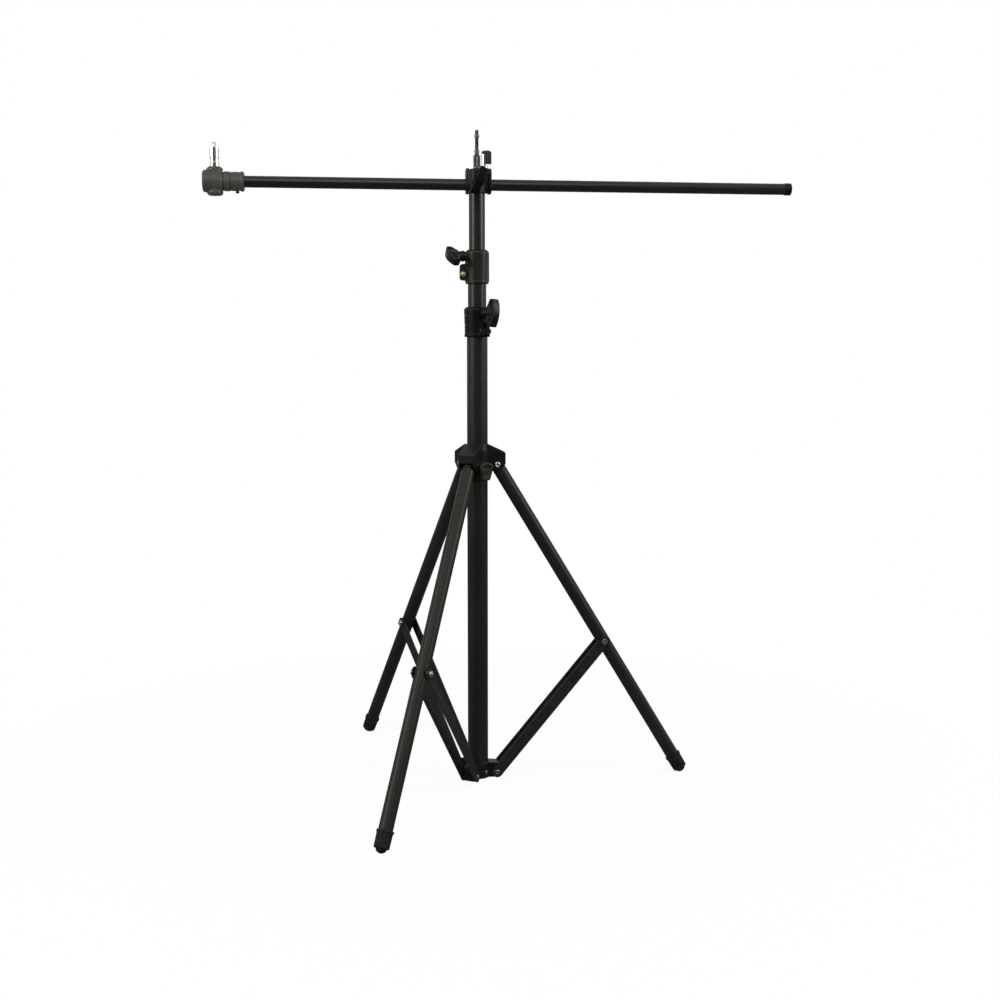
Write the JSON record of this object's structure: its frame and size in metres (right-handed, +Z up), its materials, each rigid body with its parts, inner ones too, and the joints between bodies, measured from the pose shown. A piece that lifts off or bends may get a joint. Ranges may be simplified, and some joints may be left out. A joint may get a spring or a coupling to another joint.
{
  "type": "light stand",
  "caption": "Folding black light stand: tripod base with braces, telescoping column with clamp knobs, and a tilting, sliding boom arm with a swivelling spigot head.",
  "frame": {"origin": "centre of the column's flat bottom face; the three feet reach 7.5 mm lower, to the floor", "axes": "+Z up along the column, +X along the level boom towards its long plain end and along the right leg, +Y to the back, where the boom passes behind the column"},
  "size_m": [0.9973, 0.6486, 1.1073],
  "materials": {
    "tube": "satin",
    "casting": "satin",
    "plastic": "satin",
    "black_steel": "satin",
    "rubber": "matte",
    "bright_steel": "satin",
    "grey_steel": "satin",
    "chrome": "polished"
  },
  "bodies": {
    "stand": {"lower_column": "tube", "column_plug": "plastic", "base_hub": "casting", "hub_pin_a": "bright_steel", "hub_pin_b": "bright_steel", "hub_pin_c": "bright_steel", "lower_collar": "casting", "lower_collar_bush": "plastic", "lower_collar_bolt": "bright_steel", "lower_collar_nut": "bright_steel"},
    "lower_knob": {"lower_knob": "plastic"},
    "middle_section": {"middle_column": "tube", "middle_guide": "plastic", "middle_collar": "casting", "middle_collar_bush": "plastic", "middle_collar_bolt": "bright_steel", "middle_collar_nut": "bright_steel"},
    "middle_knob": {"middle_knob": "plastic"},
    "upper_section": {"upper_column": "tube", "upper_guide": "plastic"},
    "top_bracket": {"top_casting": "casting", "top_spigot": "grey_steel", "tilt_bolt": "bright_steel"},
    "tilt_knob": {"tilt_knob": "plastic"},
    "boom_holder": {"boom_holder": "casting"},
    "boom_lock": {"lock_sleeve": "chrome", "lock_lever": "plastic"},
    "boom": {"boom_tube": "tube", "boom_end_cap": "plastic", "head_sleeve": "casting", "head_sleeve_screw": "black_steel"},
    "head": {"head_body": "casting", "head_spigot": "chrome"},
    "crown": {"crown_casting": "casting", "leg_pin_a": "bright_steel", "leg_pin_b": "bright_steel", "leg_pin_c": "bright_steel"},
    "crown_knob": {"crown_knob": "plastic"},
    "leg_a": {"leg_plug_a": "plastic", "leg_tube_a": "tube", "leg_foot_a": "rubber"},
    "brace_a": {"brace_near_a": "black_steel", "brace_far_a": "black_steel", "brace_bolt_a": "bright_steel", "brace_nut_a": "bright_steel"},
    "leg_b": {"leg_plug_b": "plastic", "leg_tube_b": "tube", "leg_foot_b": "rubber"},
    "brace_b": {"brace_near_b": "black_steel", "brace_far_b": "black_steel", "brace_bolt_b": "bright_steel", "brace_nut_b": "bright_steel"},
    "leg_c": {"leg_plug_c": "plastic", "leg_tube_c": "tube", "leg_foot_c": "rubber"},
    "brace_c": {"brace_near_c": "black_steel", "brace_far_c": "black_steel", "brace_bolt_c": "bright_steel", "brace_nut_c": "bright_steel"}
  },
  "joints": [
    {"name": "middle_slide", "type": "slide", "parent": "stand", "child": "middle_section", "axis": [0, 0, 1], "range_m": [-0.038, 0.62]},
    {"name": "upper_slide", "type": "slide", "parent": "middle_section", "child": "upper_section", "axis": [0, 0, 1], "range_m": [-0.02, 0.61]},
    {"name": "top_swivel", "type": "hinge", "parent": "upper_section", "child": "top_bracket", "pos_m": [0, 0, 0.9969], "axis": [0, 0, 1], "continuous": true},
    {"name": "boom_tilt", "type": "hinge", "parent": "top_bracket", "child": "boom_holder", "pos_m": [0, 0.0302, 1.0147], "axis": [0, 1, 0], "range_deg": [-60, 60]},
    {"name": "boom_slide", "type": "slide", "parent": "boom_holder", "child": "boom", "axis": [1, 0, 0], "range_m": [-0.505, 0.36]},
    {"name": "head_turn", "type": "hinge", "parent": "boom", "child": "head", "pos_m": [-0.43, 0.0302, 1.0147], "axis": [1, 0, 0], "continuous": true},
    {"name": "boom_lock_turn", "type": "hinge", "parent": "boom_holder", "child": "boom_lock", "pos_m": [0.0162, 0.0302, 1.0147], "axis": [0, 0, 1], "range_deg": [0, 180]},
    {"name": "tilt_knob_turn", "type": "hinge", "parent": "top_bracket", "child": "tilt_knob", "pos_m": [0, -0.016, 1.0147], "axis": [0, 1, 0], "range_deg": [0, 180]},
    {"name": "middle_knob_turn", "type": "hinge", "parent": "middle_section", "child": "middle_knob", "pos_m": [0, 0, 0.8946], "axis": [-0.9613, -0.2756, 0], "range_deg": [0, 180]},
    {"name": "lower_knob_turn", "type": "hinge", "parent": "stand", "child": "lower_knob", "pos_m": [0, 0, 0.8006], "axis": [0.4848, -0.8746, 0], "range_deg": [0, 180]},
    {"name": "crown_slide", "type": "slide", "parent": "stand", "child": "crown", "axis": [0, 0, 1], "range_m": [0, 0.11853]},
    {"name": "crown_knob_turn", "type": "hinge", "parent": "crown", "child": "crown_knob", "pos_m": [0, 0, 0.5458], "axis": [0.2588, -0.9659, 0], "range_deg": [0, 90]},
    {"name": "leg_fold_a", "type": "hinge", "parent": "crown", "child": "leg_a", "pos_m": [0.0324, 0, 0.547], "axis": [0, 1, 0], "range_deg": [0, 28.09]},
    {"name": "brace_fold_a", "type": "hinge", "parent": "stand", "child": "brace_a", "pos_m": [0.0324, 0, 0.0093], "axis": [0, -1, 0], "range_deg": [0, 35.91]},
    {"name": "leg_fold_b", "type": "hinge", "parent": "crown", "child": "leg_b", "pos_m": [-0.0162, 0.02806, 0.547], "axis": [-0.866, -0.5, 0], "range_deg": [0, 28.09]},
    {"name": "brace_fold_b", "type": "hinge", "parent": "stand", "child": "brace_b", "pos_m": [-0.0162, 0.02806, 0.0093], "axis": [0.866, 0.5, 0], "range_deg": [0, 35.91]},
    {"name": "leg_fold_c", "type": "hinge", "parent": "crown", "child": "leg_c", "pos_m": [-0.0162, -0.02806, 0.547], "axis": [0.866, -0.5, 0], "range_deg": [0, 28.09]},
    {"name": "brace_fold_c", "type": "hinge", "parent": "stand", "child": "brace_c", "pos_m": [-0.0162, -0.02806, 0.0093], "axis": [-0.866, 0.5, 0], "range_deg": [0, 35.91]}
  ],
  "couplings": [
    {"joint": "leg_fold_a", "follows": "crown_slide", "rad_per_m": 4.1347},
    {"joint": "brace_fold_a", "follows": "crown_slide", "rad_per_m": 5.2855},
    {"joint": "leg_fold_b", "follows": "crown_slide", "rad_per_m": 4.1347},
    {"joint": "brace_fold_b", "follows": "crown_slide", "rad_per_m": 5.2855},
    {"joint": "leg_fold_c", "follows": "crown_slide", "rad_per_m": 4.1347},
    {"joint": "brace_fold_c", "follows": "crown_slide", "rad_per_m": 5.2855}
  ]
}
